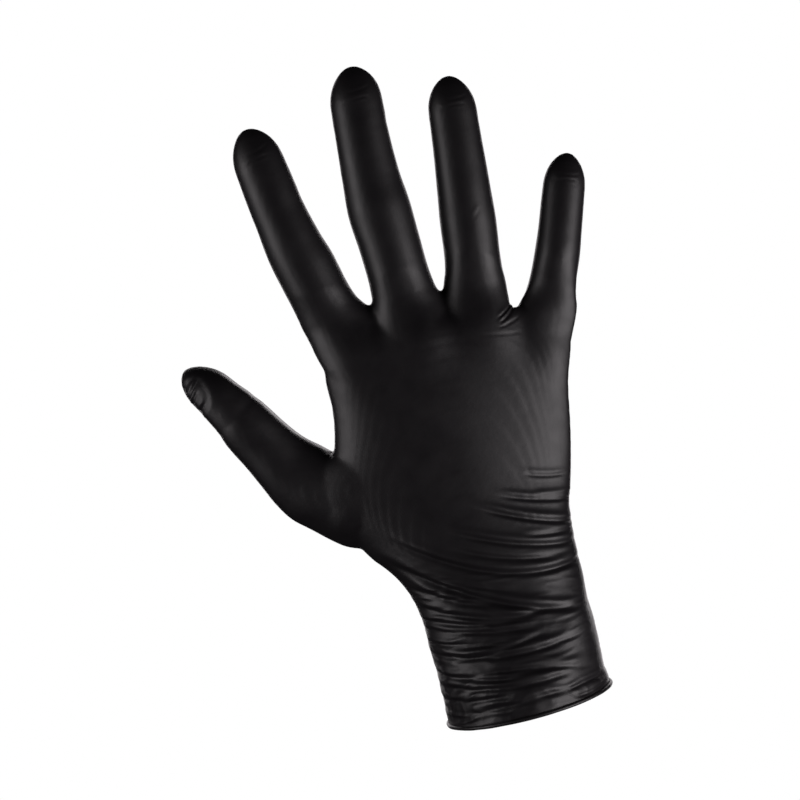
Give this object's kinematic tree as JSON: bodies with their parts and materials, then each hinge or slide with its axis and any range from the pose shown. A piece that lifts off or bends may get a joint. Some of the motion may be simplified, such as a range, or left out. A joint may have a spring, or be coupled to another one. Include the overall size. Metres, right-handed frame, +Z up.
{
  "type": "disposable glove",
  "caption": "Thin black dipped glove in the shape of an open right hand, with a rolled bead at the cuff and fingers, thumb and wrist that bend at their folds.",
  "frame": {"origin": "centre of the cuff's open end, in the plane of the rolled bead's outer edge", "axes": "+Z up the glove towards the middle fingertip, +X towards the little finger's side, +Y out of the palm, so the back of the hand faces -Y"},
  "size_m": [0.1576, 0.062, 0.2357],
  "materials": {
    "nitrile_film": "satin, finely textured",
    "nitrile_fold": "satin, finely textured, crumples as it bends",
    "rolled_bead": "satin"
  },
  "bodies": {
    "cuff": {"cuff_bead": "rolled_bead", "cuff_sleeve": "nitrile_film"},
    "hand": {"wrist_fold": "nitrile_fold", "hand_back": "nitrile_film", "hand_palm": "nitrile_film"},
    "index_base": {"index_finger_base": "nitrile_film", "index_finger_base_fold": "nitrile_fold"},
    "index_middle": {"index_finger_middle": "nitrile_film", "index_finger_middle_fold": "nitrile_fold"},
    "index_tip": {"index_fingertip": "nitrile_film", "index_fingertip_fold": "nitrile_fold"},
    "middle_base": {"middle_finger_base": "nitrile_film", "middle_finger_base_fold": "nitrile_fold"},
    "middle_middle": {"middle_finger_middle": "nitrile_film", "middle_finger_middle_fold": "nitrile_fold"},
    "middle_tip": {"middle_fingertip": "nitrile_film", "middle_fingertip_fold": "nitrile_fold"},
    "ring_base": {"ring_finger_base": "nitrile_film", "ring_finger_base_fold": "nitrile_fold"},
    "ring_middle": {"ring_finger_middle": "nitrile_film", "ring_finger_middle_fold": "nitrile_fold"},
    "ring_tip": {"ring_fingertip": "nitrile_film", "ring_fingertip_fold": "nitrile_fold"},
    "little_base": {"little_finger_base": "nitrile_film", "little_finger_base_fold": "nitrile_fold"},
    "little_middle": {"little_finger_middle": "nitrile_film", "little_finger_middle_fold": "nitrile_fold"},
    "little_tip": {"little_fingertip": "nitrile_film", "little_fingertip_fold": "nitrile_fold"},
    "thumb_base": {"thumb_base": "nitrile_film", "thumb_base_fold": "nitrile_fold"},
    "thumb_tip": {"thumb_tip": "nitrile_film", "thumb_tip_fold": "nitrile_fold"}
  },
  "joints": [
    {"name": "wrist_bend", "type": "hinge", "parent": "cuff", "child": "hand", "pos_m": [0, 0, 0.0485], "axis": [-1, 0, 0], "range_deg": [-50, 50], "stiffness_Nm_per_rad": 0.1, "deforming": ["wrist_fold"]},
    {"name": "index_base_bend", "type": "hinge", "parent": "hand", "child": "index_base", "pos_m": [-0.0342, 0.00687, 0.15938], "axis": [-0.9963, 0, -0.0854], "range_deg": [0, 70], "stiffness_Nm_per_rad": 0.01, "deforming": ["index_finger_base_fold"]},
    {"name": "index_middle_bend", "type": "hinge", "parent": "index_base", "child": "index_middle", "pos_m": [-0.03771, 0.00669, 0.17501], "axis": [-0.9854, 0, -0.1702], "range_deg": [0, 80], "stiffness_Nm_per_rad": 0.005, "deforming": ["index_finger_middle_fold"]},
    {"name": "index_tip_bend", "type": "hinge", "parent": "index_middle", "child": "index_tip", "pos_m": [-0.04156, 0.00569, 0.19718], "axis": [-0.9854, 0, -0.1702], "range_deg": [0, 40], "stiffness_Nm_per_rad": 0.003, "deforming": ["index_fingertip_fold"]},
    {"name": "middle_base_bend", "type": "hinge", "parent": "hand", "child": "middle_base", "pos_m": [-0.00577, 0.00573, 0.16025], "axis": [-0.9999, 0, 0.0153], "range_deg": [0, 70], "stiffness_Nm_per_rad": 0.01, "deforming": ["middle_finger_base_fold"]},
    {"name": "middle_middle_bend", "type": "hinge", "parent": "middle_base", "child": "middle_middle", "pos_m": [-0.00631, 0.0058, 0.18003], "axis": [-0.9995, 0, 0.0305], "range_deg": [0, 80], "stiffness_Nm_per_rad": 0.005, "deforming": ["middle_finger_middle_fold"]},
    {"name": "middle_tip_bend", "type": "hinge", "parent": "middle_middle", "child": "middle_tip", "pos_m": [-0.00572, 0.00526, 0.20702], "axis": [-0.9995, 0, 0.0305], "range_deg": [0, 40], "stiffness_Nm_per_rad": 0.003, "deforming": ["middle_fingertip_fold"]},
    {"name": "ring_base_bend", "type": "hinge", "parent": "hand", "child": "ring_base", "pos_m": [0.02111, 0.00602, 0.15981], "axis": [-0.998, 0, 0.0637], "range_deg": [0, 70], "stiffness_Nm_per_rad": 0.01, "deforming": ["ring_finger_base_fold"]},
    {"name": "ring_middle_bend", "type": "hinge", "parent": "ring_base", "child": "ring_middle", "pos_m": [0.02345, 0.00594, 0.1769], "axis": [-0.9919, 0, 0.1271], "range_deg": [0, 80], "stiffness_Nm_per_rad": 0.005, "deforming": ["ring_finger_middle_fold"]},
    {"name": "ring_tip_bend", "type": "hinge", "parent": "ring_middle", "child": "ring_tip", "pos_m": [0.02627, 0.00528, 0.19947], "axis": [-0.9919, 0, 0.1271], "range_deg": [0, 40], "stiffness_Nm_per_rad": 0.003, "deforming": ["ring_fingertip_fold"]},
    {"name": "little_base_bend", "type": "hinge", "parent": "hand", "child": "little_base", "pos_m": [0.04645, 0.0065, 0.14403], "axis": [-0.9804, 0, 0.1968], "range_deg": [0, 70], "stiffness_Nm_per_rad": 0.01, "deforming": ["little_finger_base_fold"]},
    {"name": "little_middle_bend", "type": "hinge", "parent": "little_base", "child": "little_middle", "pos_m": [0.05153, 0.00635, 0.15545], "axis": [-0.9225, 0, 0.3859], "range_deg": [0, 80], "stiffness_Nm_per_rad": 0.005, "deforming": ["little_finger_middle_fold"]},
    {"name": "little_tip_bend", "type": "hinge", "parent": "little_middle", "child": "little_tip", "pos_m": [0.05668, 0.00586, 0.16928], "axis": [-0.9225, 0, 0.3859], "range_deg": [0, 40], "stiffness_Nm_per_rad": 0.003, "deforming": ["little_fingertip_fold"]},
    {"name": "thumb_base_bend", "type": "hinge", "parent": "hand", "child": "thumb_base", "pos_m": [-0.05865, 0.01155, 0.10844], "axis": [-0.641, 0.6428, -0.4195], "range_deg": [0, 32], "stiffness_Nm_per_rad": 0.01, "deforming": ["thumb_base_fold"]},
    {"name": "thumb_tip_bend", "type": "hinge", "parent": "thumb_base", "child": "thumb_tip", "pos_m": [-0.06843, 0.01094, 0.12294], "axis": [-0.641, 0.6428, -0.4195], "range_deg": [0, 50], "stiffness_Nm_per_rad": 0.003, "deforming": ["thumb_tip_fold"]}
  ]
}
